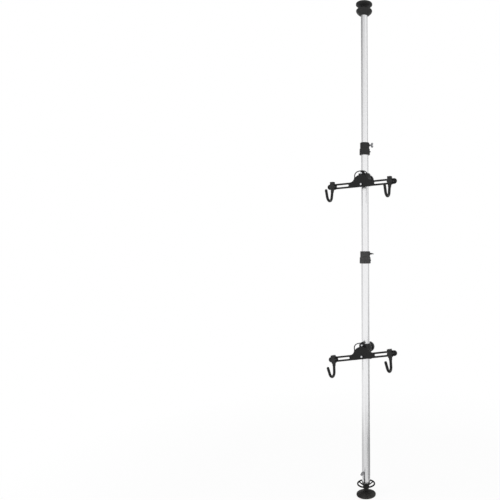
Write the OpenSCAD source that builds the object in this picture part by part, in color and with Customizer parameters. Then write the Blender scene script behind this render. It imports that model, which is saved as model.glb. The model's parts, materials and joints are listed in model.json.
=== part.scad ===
/* [Tubes] */
// Outer diameter of the lower tube; the middle and top tubes nest inside it
lower_tube_d = 45; // [44:0.5:48]
// Wall thickness of the three tubes
tube_wall = 1.5; // [1.2:0.1:1.8]
// Radial gap between one tube and the next
tube_gap = 0.25; // [0.2:0.05:0.4]
// Length of the lower tube
lower_tube_len = 1245; // [1100:5:1400]
// Length of the middle tube
middle_tube_len = 1137; // [1050:5:1250]
// Length of the top tube
top_tube_len = 1150; // [1050:5:1250]
// Height of the upper collar above the lower collar, which sets how far the middle tube is drawn out
middle_draw = 596; // [500:5:700]
// Height of the head above the upper collar, which sets how far the top tube is drawn out
top_draw = 765; // [600:5:900]
// Length of the plastic guide at the bottom of the middle and top tubes
guide_len = 30; // [20:1:50]

/* [Foot] */
// Diameter of the rubber foot pad
foot_d = 106; // [96:1:120]
// Thickness of the foot pad at its rim
foot_rim = 9; // [7:0.5:12]
// Height of the foot pad at its neck
foot_h = 24; // [20:0.5:30]
// Number of raised ribs on the foot pad
foot_ribs = 16; // [8:1:24]
// Diameter of the steel socket that stands in the foot pad
socket_d = 26; // [24:0.5:30]
// Height of the top of the socket above the floor
socket_top = 37.5; // [35:0.5:42]
// Diameter of the jack spindle
spindle_d = 16; // [14:0.5:18]
// Height of the top of the spindle above the floor
spindle_top = 190; // [160:1:220]
// Thickness of the flange on which the lower tube stands
nut_flange = 7; // [5:0.5:10]

/* [Handwheel] */
// Diameter of the hub
hub_d = 34; // [30:0.5:38]
// Height of the hub
hub_h = 25; // [23:0.5:30]
// Diameter of the rim, at the centre of its round section
wheel_d = 92; // [80:1:110]
// Diameter of the rim's round section
wheel_rim_d = 8.4; // [7:0.2:10]
// Height of the rim above the bottom of the hub
wheel_rise = 24; // [18:0.5:28]
// Number of spokes
wheel_spokes = 3; // [3:1:5]
// Diameter of each spoke
spoke_d = 6.4; // [5:0.2:8]

/* [Lock lever] */
// Diameter of the lever's rod
lever_rod_d = 6; // [5:0.2:7]
// Height of the straight stem of the lever
lever_stem = 34; // [25:1:45]
// Radius of the bend at the top of the lever
lever_bend_r = 13; // [10:0.5:16]
// Angle of the bend at the top of the lever
lever_bend = 110; // [90:1:130]
// Length of the flat tab at the end of the lever
lever_tab_len = 15; // [12:0.5:20]
// Width of the flat tab
lever_tab_w = 14; // [12:0.5:18]
// Thickness of the flat tab
lever_tab_t = 3; // [2.5:0.1:4]
// Diameter of the pin that the lever turns on
lever_pin_d = 4; // [3:0.2:5]

/* [Collars] */
// Height of each collar
collar_h = 67; // [60:1:75]
// Height of the wide skirt at the bottom of each collar
collar_skirt_h = 36; // [30:1:42]
// Depth to which the outer tube stands in the collar
collar_seat = 44; // [38:1:46]
// Wall of the skirt round the tube
collar_skirt_wall = 8; // [7:0.5:10]
// Wall of the upper part round the split bush
collar_neck_wall = 3.7; // [3:0.1:5]
// Radial thickness of the split bush inside each collar
bush_t = 2.5; // [2:0.1:3]
// Number of grip flutes round the skirt
collar_flutes = 12; // [8:1:16]
// Depth of each grip flute
flute_depth = 1.6; // [1:0.1:2.5]
// Number of raised ribs round the upper part
collar_ribs = 14; // [8:1:20]
// Turn of the upper collar round the pole, which sets where its wing screw points
upper_collar_turn = 20; // [-60:5:60]
// Height of the wing screw above the bottom of its collar
screw_z = 53.5; // [50:0.5:56]
// Diameter of the wing screw's thread
screw_d = 6; // [5:0.5:8]
// Reach of the wing screw from the face of the collar
wing_reach = 22; // [18:0.5:30]
// Radius of each wing
wing_r = 7; // [5:0.5:9]
// Thickness of the wings
wing_t = 4; // [3:0.5:5]

/* [Head] */
// Diameter of the rubber ceiling pad
ceiling_pad_d = 90; // [80:1:100]
// Thickness of the ceiling pad at its rim
ceiling_rim = 9; // [7:0.5:12]
// Height of the head from the end of the top tube to the ceiling
head_h = 67; // [62:1:80]
// Diameter of the flange of the head cap
head_flange_d = 89; // [80:1:100]
// Diameter of the neck between the flange and the ceiling pad
head_neck_d = 35; // [30:0.5:40]
// Depth to which the head cap stands in the top tube
head_plug = 45; // [35:1:60]

/* [Cradles] */
// Distance of the upper cradle's tilt pivot below the upper collar
upper_cradle_drop = 166; // [108:1:228]
// Height of the lower cradle's tilt pivot above the floor
lower_cradle_z = 770; // [600:1:900]
// Tilt of the upper cradle's arm as it stands, right end up
upper_tilt = 2; // [-10:0.5:12]
// Tilt of the lower cradle's arm as it stands, right end up
lower_tilt = 10; // [-10:0.5:12]
// Wall of the split sleeve between the lower tube and its clamp
sleeve_wall = 2.75; // [2:0.25:4]
// Wall of the clamp round its sleeve
clamp_wall = 6.5; // [5:0.5:9]
// Height of the clamp
clamp_h = 53; // [46:1:60]
// Height of the clamp's lower edge above the tilt pivot
clamp_z = 9; // [9:0.5:12]
// Radius of the clamp's face plate about the tilt pivot
face_r = 50; // [46:0.5:53]
// Thickness of the face plate
face_t = 5; // [4:0.5:7]
// Diameter of the pivot boss on the face plate
pivot_boss_d = 28; // [24:1:34]
// Diameter of the clamp's tightening screw
clamp_screw_d = 10; // [8:0.5:12]
// Diameter of the clamp's hand knob
clamp_knob_d = 57; // [50:1:64]
// Thickness of the clamp's hand knob
clamp_knob_t = 18; // [15:0.5:22]
// Diameter of the pivot bolt
pivot_d = 8; // [6:0.5:10]
// Diameter of the stop pin that runs in the arm's window
stop_d = 10; // [8:0.5:12]
// Distance of the stop pin from the tilt pivot
stop_r = 60.5; // [59:0.5:62]

/* [Arm plate] */
// Distance from the pole's axis to the back of the arm plate
arm_y = 48; // [46:0.5:54]
// Thickness of the arm plate
arm_t = 3; // [2.5:0.25:4]
// Overall length of the arm plate
arm_len = 408; // [360:2:440]
// Height of the arm's bar
bar_h = 30; // [27:0.5:34]
// Height of the long slots
slot_h = 10.5; // [9:0.5:12]
// Distance of each slot's inner end from the middle
slot_in = 75; // [72:1:90]
// Width of the arm's hump
hump_w = 80; // [76:1:86]
// Radius of the top of the hump about the pivot
hump_r = 75; // [74:0.5:80]
// Radius of the hump's shoulders
shoulder_r = 27; // [20:0.5:30]
// Radius of the fillets between the hump and the bar
fillet_r = 28; // [20:1:34]
// Width of the web above the arched window
web_w = 5; // [4:0.25:6]
// Radius of the window's lower edge about the pivot
window_r = 53; // [50:0.5:54]

/* [Hooks] */
// Distance of each hook from the end of the arm
hook_inset = 36; // [24:1:84]
// Diameter of the hook's steel rod
hook_rod_d = 10; // [8:0.5:11]
// Thickness of the soft coating on the rod
hook_coat = 2.3; // [1.5:0.1:3]
// Radius of the bend of the hook
hook_bend_r = 28; // [24:0.5:34]
// Lean of each leg of the hook away from the upright
hook_lean = 16; // [8:1:20]
// Drop of the rod's centre below the bar at the bottom of the bend
hook_drop = 83; // [76:1:100]
// Drop of the hook's tip below the middle of the bar
hook_tip = 22; // [10:1:40]
// Width of the hook's mounting block
block_w = 22; // [20:0.5:26]
// Depth of the block in front of the arm plate
block_depth = 22; // [20:0.5:26]
// Height of the block above the middle of the bar
block_top = 25; // [20:0.5:30]
// Diameter of the round boss on the block
block_boss_d = 26; // [24:0.5:30]
// Diameter of the block's stud
stud_d = 8; // [6:0.5:10]
// Diameter of the hand knob behind the arm
hook_knob_d = 32; // [28:1:38]
// Thickness of the hand knob behind the arm
hook_knob_t = 15; // [12:0.5:16]

/* [Fits] */
// Radial clearance of parts that slide or turn on each other
run_gap = 0.05; // [0.03:0.01:0.08]
// Clearance between faces that pass each other
face_gap = 0.3; // [0.2:0.05:0.5]

/* [Hidden] */
$fn = 72;

// Radii of the three nested tubes
lower_r = lower_tube_d / 2;
middle_r = lower_r - tube_wall - tube_gap;
top_r = middle_r - tube_wall - tube_gap;
spindle_r = spindle_d / 2;

// Heights from the floor up
socket_floor = 12;
hub_z = socket_top + 0.5;
nut_z = hub_z + hub_h + 1;
tube_z = nut_z + nut_flange;
nut_len = 55;
lower_tube_top = tube_z + lower_tube_len;
lower_collar_z = lower_tube_top - collar_seat;
upper_collar_z = lower_collar_z + middle_draw;
upper_cradle_z = upper_collar_z - upper_cradle_drop;
middle_tube_top = upper_collar_z + collar_seat;
middle_tube_z = middle_tube_top - middle_tube_len;
top_tube_top = upper_collar_z + top_draw;
top_tube_z = top_tube_top - top_tube_len;
ceiling_z = top_tube_top + head_h;

// The lock lever's pivot, inside the lower end of the lower tube
lever_y = -(spindle_r + 7);
lever_z = tube_z + 11;
lever_eye_d = 10;
lever_out_y = -(lower_r + face_gap + 2.2 + lever_rod_d / 2);
lever_out_z = lever_z + 12;
lever_slot_w = lever_rod_d + 2;
lever_slot_z = [tube_z + 3, lever_z + 15];

// Clamp and sleeve, both measured from the pole's axis
sleeve_r = lower_r + run_gap + sleeve_wall;
clamp_bore_r = sleeve_r + run_gap;
clamp_r = clamp_bore_r + clamp_wall;
clamp_mid = clamp_z + clamp_h / 2;
lip_t = 1.5;
lip_r = sleeve_r + 2;
face_y = -clamp_r;
boss_y = clamp_r + 12;
knob_y = boss_y + 2;

// Arm plate, measured from the pivot
arm_front = -(arm_y + arm_t);
bar_r = bar_h / 2;
slot_out = arm_len / 2 - bar_r - 1;
hook_x = arm_len / 2 - hook_inset;
window_shoulder_r = shoulder_r - web_w;

// Hook rod: the bend's centre and the ends of its legs, in the plane across the arm
bend_z = -hook_drop + hook_bend_r;
leg_y = hook_bend_r * cos(hook_lean);
leg_z = bend_z - hook_bend_r * sin(hook_lean);
root_z = -14;
root_y = arm_front - block_depth / 2;
bend_y = leg_y_at(leg_z) - leg_y;
coat_top = -33;
coat_r = hook_rod_d / 2 + hook_coat;
coat_fit = 0.02;

// Length along a leaning leg up to a height, and where the rear leg is at a height
function leg_len(z) = (z - leg_z) / cos(hook_lean);
function leg_y_at(z) = root_y - (root_z - z) * tan(hook_lean);

// Turns a shape drawn in X and Y so that X runs along the frame's Y and Y runs up
module in_side_plane() {
    rotate([90, 0, 90]) children();
}

// Turns a shape drawn in X and Y so that it stands facing the front, with its thickness towards the front
module facing_front(y) {
    translate([0, y, 0]) rotate([90, 0, 0]) children();
}

module ring(outer, inner, h) {
    difference() {
        cylinder(r = outer, h = h);
        translate([0, 0, -1]) cylinder(r = inner, h = h + 2);
    }
}

// Section of a round disc with a rounded edge
module rounded_slab(r, t, edge) {
    square([r - edge, t]);
    translate([0, edge]) square([r, t - 2 * edge]);
    translate([r - edge, edge]) circle(edge);
    translate([r - edge, t - edge]) circle(edge);
}

module foot_profile(lift) {
    rounded_slab(foot_d / 2, foot_rim, 2.5);
    polygon([
        [0, foot_rim - 1], [foot_d / 2 - 3, foot_rim - 1], [foot_d / 2 - 4, foot_rim + lift],
        [foot_d / 2 - 22, foot_rim + 7 + lift], [socket_d / 2 + 4, foot_h - 3 + lift],
        [socket_d / 2 + 2, foot_h], [0, foot_h]
    ]);
}

module foot_pad() {
    color([0.12, 0.12, 0.13]) difference() {
        union() {
            rotate_extrude() foot_profile(0);
            intersection() {
                rotate_extrude() foot_profile(1.5);
                for (i = [0 : foot_ribs - 1]) {
                    rotate([0, 0, (i + 0.5) * 360 / foot_ribs]) translate([socket_d / 2 + 6, -1.75, foot_rim])
                        cube([foot_d / 2, 3.5, foot_h]);
                }
            }
        }
        socket_outline();
    }
}

module socket_outline() {
    translate([0, 0, 6]) cylinder(r = socket_d / 2 + 9, h = 5);
    translate([0, 0, 6]) cylinder(r = socket_d / 2, h = socket_top - 6);
}

module foot_socket() {
    color([0.16, 0.16, 0.17]) difference() {
        socket_outline();
        translate([0, 0, socket_floor]) cylinder(r = spindle_r + run_gap, h = socket_top);
    }
}

module spindle() {
    color([0.72, 0.73, 0.75]) rotate_extrude() polygon([
        [0, socket_floor], [spindle_r - 1, socket_floor], [spindle_r, socket_floor + 1],
        [spindle_r, spindle_top - 2], [spindle_r - 2, spindle_top], [0, spindle_top]
    ]);
}

module handwheel() {
    spoke_foot = [hub_d / 2 - 4, hub_z + 10];
    spoke_head = [wheel_d / 2, hub_z + wheel_rise];
    spoke_run = spoke_head - spoke_foot;
    spoke_len = norm(spoke_run);
    color([0.1, 0.1, 0.11]) difference() {
        union() {
            rotate_extrude() polygon([
                [0, hub_z], [hub_d / 2 - 1, hub_z], [hub_d / 2 + 1, hub_z + 2], [hub_d / 2 + 1, hub_z + 7],
                [hub_d / 2 - 1.5, hub_z + 16], [hub_d / 2 - 1, hub_z + hub_h - 1.5],
                [hub_d / 2 - 2.5, hub_z + hub_h], [0, hub_z + hub_h]
            ]);
            translate([0, 0, hub_z + wheel_rise]) rotate_extrude() translate([wheel_d / 2, 0])
                circle(wheel_rim_d / 2);
            for (i = [0 : wheel_spokes - 1]) {
                rotate([0, 0, 54 + i * 360 / wheel_spokes]) translate([spoke_foot[0], 0, spoke_foot[1]])
                    rotate([0, atan2(spoke_run[0], spoke_run[1]), 0]) cylinder(r = spoke_d / 2, h = spoke_len);
            }
        }
        translate([0, 0, hub_z - 1]) cylinder(r = spindle_r, h = hub_h + 2);
    }
}

module spindle_nut() {
    color([0.14, 0.14, 0.15]) difference() {
        union() {
            translate([0, 0, nut_z]) cylinder(r = lower_r - 0.5, h = nut_flange);
            translate([0, 0, nut_z]) cylinder(r = lower_r - tube_wall, h = nut_flange + nut_len);
        }
        translate([0, 0, nut_z - 1]) cylinder(r = spindle_r + run_gap, h = nut_flange + nut_len + 2);
        translate([-lever_slot_w / 2, -lower_r, lever_slot_z[0]])
            cube([lever_slot_w, lower_r - spindle_r - 1.5, lever_slot_z[1] - lever_slot_z[0]]);
        lever_pin_shape(lower_r);
    }
}

module lever_pin_shape(half) {
    translate([-half, lever_y, lever_z]) rotate([0, 90, 0]) cylinder(r = lever_pin_d / 2, h = 2 * half);
}

// The pin ends just inside the tube, where its outer side comes nearest to the wall
module lever_pin() {
    reach = sqrt(pow(lower_r - tube_wall, 2) - pow(lever_y - lever_pin_d / 2, 2));
    color([0.6, 0.61, 0.63]) lever_pin_shape(reach - face_gap);
}

module lever_tab() {
    translate([-lever_tab_t / 2, 0, 0]) rotate([0, 90, 0]) linear_extrude(lever_tab_t) union() {
        translate([-lever_tab_w / 2, -2]) square([lever_tab_w, lever_tab_len + 2]);
        translate([0, lever_tab_len]) circle(lever_tab_w / 2);
    }
}

module lock_lever() {
    rod_r = lever_rod_d / 2;
    eye_t = lever_slot_w - 1;
    run = [lever_out_y - lever_y, lever_out_z - lever_z];
    bend_centre = [lever_out_y - lever_bend_r, lever_out_z + lever_stem];
    tab_start = bend_centre + lever_bend_r * [cos(lever_bend), sin(lever_bend)];
    color([0.62, 0.63, 0.65]) in_side_plane() difference() {
        union() {
            union() {
                translate([bend_centre[0], bend_centre[1], 0]) rotate_extrude(angle = lever_bend)
                    translate([lever_bend_r, 0]) circle(rod_r);
                translate([lever_out_y, lever_out_z, 0]) rotate([-90, 0, 0]) cylinder(r = rod_r, h = lever_stem);
            }
            translate([tab_start[0], tab_start[1], 0]) rotate([0, 0, lever_bend]) lever_tab();
            union() {
                translate([lever_out_y, lever_out_z, 0]) sphere(r = rod_r + 0.4);
                translate([lever_y, lever_z, 0]) rotate([0, 0, atan2(run[1], run[0]) - 90]) rotate([-90, 0, 0])
                    cylinder(r = rod_r, h = norm(run));
            }
            translate([lever_y, lever_z, -eye_t / 2]) cylinder(r = lever_eye_d / 2, h = eye_t);
        }
        translate([lever_y, lever_z, -eye_t]) cylinder(r = lever_pin_d / 2 + run_gap, h = 2 * eye_t);
    }
}

module lower_tube() {
    color([0.85, 0.86, 0.87]) difference() {
        translate([0, 0, tube_z]) ring(lower_r, lower_r - tube_wall, lower_tube_len);
        translate([-lever_slot_w / 2, -lower_r - 1, lever_slot_z[0]])
            cube([lever_slot_w, lower_r, lever_slot_z[1] - lever_slot_z[0]]);
    }
}

module middle_tube() {
    color([0.85, 0.86, 0.87]) translate([0, 0, middle_tube_z])
        ring(middle_r, middle_r - tube_wall, middle_tube_len);
}

module top_tube() {
    color([0.85, 0.86, 0.87]) translate([0, 0, top_tube_z]) ring(top_r, top_r - tube_wall, top_tube_len);
}

// Plastic guide pressed into the lower end of a tube; its flange runs in the bore of the tube outside
module tube_guide(tube_r, outside_bore_r, z) {
    flange = 12;
    color([0.15, 0.15, 0.16]) translate([0, 0, z]) difference() {
        union() {
            translate([0, 0, -flange]) cylinder(r = outside_bore_r - run_gap, h = flange);
            cylinder(r = tube_r - tube_wall, h = guide_len);
        }
        translate([0, 0, -flange - 1]) cylinder(r = tube_r - tube_wall - 3, h = flange + guide_len + 2);
    }
}

// Collar that joins an outer tube, standing in its skirt, to the tube that slides inside it
module collar(outer_r, inner_r) {
    skirt_r = outer_r + collar_skirt_wall;
    bush_r = inner_r + run_gap + bush_t;
    neck_r = bush_r + collar_neck_wall;
    flute_r = 5;
    color([0.13, 0.13, 0.14]) difference() {
        union() {
            rotate_extrude() polygon([
                [outer_r, 0], [skirt_r - 2, 0], [skirt_r, 2.5], [skirt_r - 0.6, collar_skirt_h - 4],
                [skirt_r - 3, collar_skirt_h], [neck_r - 0.8, collar_skirt_h + 1],
                [neck_r - 0.8, collar_h - 6], [neck_r + 0.4, collar_h - 5], [neck_r + 0.4, collar_h - 2],
                [neck_r - 1.5, collar_h], [outer_r - 4, collar_h], [outer_r - 4, collar_seat], [outer_r, collar_seat]
            ]);
            for (i = [0 : collar_ribs - 1]) {
                rotate([0, 0, (i + 0.5) * 360 / collar_ribs])
                    translate([neck_r - 2, -1.5, collar_skirt_h]) cube([2, 3, collar_h - collar_skirt_h - 5]);
            }
            translate([0, 0, screw_z]) rotate([0, 90, 0]) cylinder(r = screw_d / 2 + 4, h = neck_r + 2.5);
            translate([skirt_r - 3, 0, collar_skirt_h / 2]) rotate([0, 90, 0])
                cylinder(r1 = 4.5, r2 = 3, h = 6.5);
        }
        for (i = [0 : collar_flutes - 1]) {
            rotate([0, 0, (i + 0.5) * 360 / collar_flutes])
                translate([skirt_r + flute_r - flute_depth, 0, -1]) cylinder(r = flute_r, h = collar_skirt_h - 6);
        }
        translate([0, 0, -1]) cylinder(r = outer_r, h = collar_seat + 1);
        translate([0, 0, collar_seat - 0.5]) cylinder(r = bush_r, h = collar_h - collar_seat - 4.5);
        cylinder(r = inner_r + face_gap, h = collar_h + 1);
        translate([0, 0, screw_z]) rotate([0, 90, 0]) cylinder(r = screw_d / 2 + run_gap, h = neck_r + 10);
    }
}

// Split bush that the wing screw presses on the inner tube
module collar_bush(inner_r) {
    bush_r = inner_r + run_gap + bush_t;
    bush_len = collar_h - collar_seat - 5;
    color([0.2, 0.2, 0.21]) translate([0, 0, collar_seat]) difference() {
        ring(bush_r, inner_r + run_gap, bush_len);
        translate([-bush_r - 1, -1, -1]) cube([bush_r, 2, bush_len + 2]);
    }
}

// Wing screw along +X, with its wings turned about its own axis
module wing_screw(inner_r, turn) {
    tip = inner_r + run_gap + bush_t + 0.1;
    neck_r = inner_r + run_gap + bush_t + collar_neck_wall;
    hub_start = neck_r + 2.5 + face_gap;
    end = neck_r + wing_reach;
    color([0.55, 0.56, 0.58]) translate([0, 0, screw_z]) rotate([turn, 0, 0]) union() {
        translate([tip, 0, 0]) rotate([0, 90, 0]) cylinder(r = screw_d / 2, h = end - 8 - tip);
        translate([hub_start + 3, 0, 0]) rotate([0, 90, 0]) cylinder(r1 = 5, r2 = 4, h = end - 8 - hub_start - 3);
        for (side = [-1, 1]) {
            translate([end - wing_r, wing_t / 2, side * (wing_r - 0.5)]) rotate([90, 0, 0])
                cylinder(r = wing_r, h = wing_t);
        }
    }
}

module on_upper_collar() {
    on_pole(upper_collar_z) rotate([0, 0, upper_collar_turn]) children();
}

module head_cap() {
    plug_r = top_r - tube_wall;
    flange_r = head_flange_d / 2;
    color([0.12, 0.12, 0.13]) translate([0, 0, top_tube_top]) rotate_extrude() union() {
        translate([0, -head_plug]) square([plug_r, head_plug + 3]);
        polygon([
            [0, 0], [top_r + 1.5, 0], [top_r + 6, 5], [flange_r - 10, 13], [flange_r - 1, 23],
            [flange_r - 1, 29], [flange_r - 6, 32], [head_neck_d / 2 + 5, 38],
            [head_neck_d / 2, 42], [head_neck_d / 2, head_h - 7], [0, head_h - 7]
        ]);
        translate([flange_r - 4, 26]) circle(4);
    }
}

module ceiling_pad() {
    pad_r = ceiling_pad_d / 2;
    color([0.12, 0.12, 0.13]) translate([0, 0, top_tube_top]) rotate_extrude() difference() {
        union() {
            translate([0, head_h - ceiling_rim]) rounded_slab(pad_r, ceiling_rim, 2.5);
            polygon([
                [0, head_h - 20], [head_neck_d / 2 + 3, head_h - 20], [head_neck_d / 2 + 5, head_h - 17],
                [pad_r - 2.5, head_h - ceiling_rim], [0, head_h - ceiling_rim + 1]
            ]);
        }
        translate([-1, 0]) square([head_neck_d / 2 + 1, head_h - 7]);
    }
}

// Places a part of a cradle that doesn't tilt
module on_pole(z) {
    translate([0, 0, z]) children();
}

// Places a part of a cradle that tilts with the arm, right end up
module on_arm(z, tilt) {
    translate([0, 0, z]) rotate([0, -tilt, 0]) children();
}

// Places a part of one hook along the upper arm
module on_upper_hook(x) {
    on_arm(upper_cradle_z, upper_tilt) translate([x, 0, 0]) children();
}

// Places a part of one hook along the lower arm
module on_lower_hook(x) {
    on_arm(lower_cradle_z, lower_tilt) translate([x, 0, 0]) children();
}

module sleeve(tube_r) {
    bore = tube_r + run_gap;
    color([0.2, 0.2, 0.21]) difference() {
        union() {
            translate([0, 0, clamp_z - face_gap]) ring(sleeve_r, bore, clamp_h + 2 * face_gap);
            translate([0, 0, clamp_z - face_gap - lip_t]) ring(lip_r, bore, lip_t);
            translate([0, 0, clamp_z + clamp_h + face_gap]) ring(lip_r, bore, lip_t);
        }
        translate([-lip_r - 1, -1, 0]) cube([lip_r, 2, clamp_z + clamp_h + 10]);
    }
}

// Outline of the clamp's face plate: part of a disc about the pivot, with a tab that carries the stop pin
module face_outline() {
    tab_w = stop_d + 10;
    intersection() {
        circle(face_r);
        translate([-face_r, -12]) square([2 * face_r, face_r + 12]);
    }
    translate([-tab_w / 2, 0]) square([tab_w, hump_r]);
    translate([0, hump_r - 8]) circle(tab_w / 2);
}

module clamp() {
    color([0.15, 0.15, 0.16]) difference() {
        union() {
            translate([0, 0, clamp_z]) rotate_extrude() polygon([
                [clamp_bore_r, 0], [clamp_r - 2, 0], [clamp_r, 2], [clamp_r, clamp_h - 5],
                [clamp_r - 4, clamp_h], [clamp_bore_r, clamp_h]
            ]);
            translate([-24, -clamp_r - 0.5, clamp_z]) cube([48, clamp_r, clamp_h]);
            facing_front(face_y) linear_extrude(face_t) face_outline();
            facing_front(face_y) cylinder(r = pivot_boss_d / 2, h = arm_y - face_gap + face_y);
            translate([0, clamp_bore_r, clamp_mid]) rotate([-90, 0, 0])
                cylinder(r1 = 15, r2 = clamp_screw_d / 2 + 6, h = boss_y - clamp_bore_r);
        }
        translate([0, 0, clamp_z - 1]) cylinder(r = clamp_bore_r, h = clamp_h + 2);
        translate([0, 0, clamp_mid]) rotate([-90, 0, 0])
            cylinder(r = clamp_screw_d / 2 + run_gap, h = boss_y + 5);
        facing_front(0) cylinder(r = pivot_d / 2, h = arm_y);
        translate([0, 0, stop_r]) facing_front(face_y) cylinder(r = stop_d / 2, h = arm_y);
    }
}

module clamp_screw() {
    tip = sleeve_r + face_gap;
    color([0.62, 0.63, 0.65]) translate([0, tip, clamp_mid]) rotate([-90, 0, 0])
        cylinder(r = clamp_screw_d / 2, h = knob_y + clamp_knob_t - 4 - tip);
}

module clamp_washer() {
    color([0.55, 0.56, 0.57]) translate([0, knob_y + 0.5, clamp_mid]) rotate([-90, 0, 0])
        ring(clamp_knob_d / 2 - 6, clamp_screw_d / 2, 2.5);
}

module clamp_knob() {
    knob_r = clamp_knob_d / 2;
    grips = 16;
    color([0.12, 0.12, 0.13]) translate([0, knob_y, clamp_mid]) rotate([-90, 0, 0]) difference() {
        rotate_extrude() rounded_slab(knob_r, clamp_knob_t, 3);
        translate([0, 0, -1]) cylinder(r = knob_r - 5.5, h = 4);
        translate([0, 0, clamp_knob_t - 3]) ring(knob_r - 7, clamp_screw_d / 2 + 6, 4);
        translate([0, 0, -1]) cylinder(r = clamp_screw_d / 2, h = clamp_knob_t - 3);
        for (i = [0 : grips - 1]) {
            rotate([0, 0, (i + 0.5) * 360 / grips]) translate([knob_r + 2.2, 0, -1])
                cylinder(r = 3.4, h = clamp_knob_t + 2);
        }
    }
}

module pivot_bolt() {
    color([0.72, 0.73, 0.75]) union() {
        facing_front(face_y) cylinder(r = pivot_d / 2, h = -arm_front + face_y + 7);
        facing_front(face_y + 4.5) cylinder(r = 7.2, h = 4.5, $fn = 6);
    }
}

// Domed nut on the front end of the pivot bolt
module pivot_nut() {
    nut_r = pivot_d / 2 + 2.6;
    color([0.8, 0.81, 0.83]) facing_front(arm_front - face_gap) difference() {
        union() {
            cylinder(r = nut_r + 2.2, h = 1.2);
            cylinder(r = nut_r + 0.6, h = 5, $fn = 6);
            translate([0, 0, 5]) rotate_extrude() intersection() {
                circle(nut_r - 0.4);
                square(nut_r);
            }
        }
        translate([0, 0, -1]) cylinder(r = pivot_d / 2, h = 8 - face_gap);
    }
}

module stop_pin() {
    color([0.72, 0.73, 0.75]) translate([0, 0, stop_r]) facing_front(face_y) rotate_extrude() polygon([
        [0, 0], [stop_d / 2, 0], [stop_d / 2, -arm_front + face_y + 2], [stop_d / 2 - 1.5, -arm_front + face_y + 3.5],
        [0, -arm_front + face_y + 3.5]
    ]);
}

// Outline of the hump: its top is an arc about the pivot, joined to upright sides by round shoulders
module hump_outline(half_w, top_r, corner_r) {
    corner_x = half_w - corner_r;
    corner_z = sqrt(pow(top_r - corner_r, 2) - corner_x * corner_x);
    intersection() {
        circle(top_r);
        translate([-corner_x * top_r / (top_r - corner_r), 0])
            square([2 * corner_x * top_r / (top_r - corner_r), top_r]);
    }
    translate([-half_w, 0]) square([2 * half_w, corner_z]);
    for (side = [-1, 1]) {
        translate([side * corner_x, corner_z]) circle(corner_r);
    }
}

module arm_outline() {
    end_x = arm_len / 2 - bar_r;
    fillet_x = hump_w / 2 + fillet_r;
    difference() {
        union() {
            translate([-end_x, -bar_r]) square([2 * end_x, bar_h]);
            for (side = [-1, 1]) {
                translate([side * end_x, 0]) circle(bar_r);
            }
            hump_outline(hump_w / 2, hump_r, shoulder_r);
            translate([-fillet_x, 0]) square([2 * fillet_x, bar_r + fillet_r]);
        }
        for (side = [-1, 1]) {
            translate([side * fillet_x, bar_r + fillet_r]) circle(fillet_r);
            translate([side * (slot_in + slot_out) / 2, 0]) square([slot_out - slot_in - slot_h, slot_h], center = true);
            for (slot_end = [slot_in + slot_h / 2, slot_out - slot_h / 2]) {
                translate([side * slot_end, 0]) circle(slot_h / 2);
            }
        }
        circle(pivot_d / 2 + run_gap);
        difference() {
            hump_outline(hump_w / 2 - web_w, hump_r - web_w, window_shoulder_r);
            circle(window_r);
        }
    }
}

module arm() {
    color([0.13, 0.13, 0.14]) facing_front(-arm_y) linear_extrude(arm_t) arm_outline();
}

module block_section() {
    edge = 4;
    half = block_w / 2;
    translate([-half, -block_depth + edge]) square([block_w, block_depth - edge]);
    translate([-half + edge, -block_depth]) square([block_w - 2 * edge, edge + 1]);
    for (side = [-1, 1]) {
        translate([side * (half - edge), -block_depth + edge]) circle(edge);
    }
}

module hook_block() {
    block_bottom = -bar_r - 3;
    key_w = stud_d + 4;
    color([0.2, 0.2, 0.21]) difference() {
        union() {
            translate([0, arm_front, block_bottom]) linear_extrude(block_top - block_bottom) block_section();
            in_side_plane() translate([leg_y_at(coat_top), coat_top, 0]) rotate([0, 0, -hook_lean])
                rotate([-90, 0, 0]) cylinder(r1 = coat_r + 1.2, r2 = block_w / 2 - 0.8, h = block_bottom - coat_top + 4);
            facing_front(arm_front) cylinder(r = block_boss_d / 2, h = block_depth + 2);
            translate([-key_w / 2, arm_front, -slot_h / 2 + run_gap]) cube([key_w, arm_t, slot_h - 2 * run_gap]);
        }
        facing_front(0) cylinder(r = stud_d / 2, h = -arm_front + block_depth - 5);
        hook_shape(hook_rod_d / 2, 0, root_z);
        hook_shape(coat_r, 0, coat_top + 1);
    }
}

// Half section of a round bar with a domed end
module domed_bar(r, len) {
    intersection() {
        union() {
            square([r, len]);
            translate([0, len]) circle(r);
        }
        square([r, len + r]);
    }
}

// Half of the bend with the leg that rises from it; the children are the leg's half section
module half_hook(r, hole) {
    difference() {
        rotate([0, 0, 180 + hook_lean]) union() {
            rotate_extrude(angle = 95 - hook_lean) translate([hook_bend_r, 0]) difference() {
                circle(r);
                if (hole > 0) circle(hole);
            }
            translate([hook_bend_r, 0, 0]) rotate([90, 0, 0]) rotate_extrude() children();
        }
        translate([0, -2 * hook_bend_r, -2 * r]) cube([2 * hook_bend_r, 2 * hook_bend_r, 4 * r]);
    }
}

// J shape: the front leg with its domed tip, the bend, and the rear leg up to height top
module hook_shape(r, hole, top) {
    tip_len = leg_len(-hook_tip - coat_r);
    in_side_plane() translate([bend_y, bend_z, 0]) union() {
        half_hook(r, hole) difference() {
            domed_bar(r, tip_len);
            if (hole > 0) domed_bar(hole, tip_len);
        }
        mirror([1, 0, 0]) half_hook(r, hole) translate([hole, 0]) square([r - hole, leg_len(top)]);
    }
}

module hook() {
    color([0.5, 0.5, 0.52]) hook_shape(hook_rod_d / 2, 0, root_z);
}

module hook_coating() {
    color([0.1, 0.1, 0.11]) hook_shape(coat_r, hook_rod_d / 2 + coat_fit, coat_top + 1);
}

module hook_stud() {
    color([0.62, 0.63, 0.65]) facing_front(-arm_y + hook_knob_t - 3)
        cylinder(r = stud_d / 2, h = -arm_front + block_depth - 5 - arm_y + hook_knob_t - 3);
}

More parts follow.
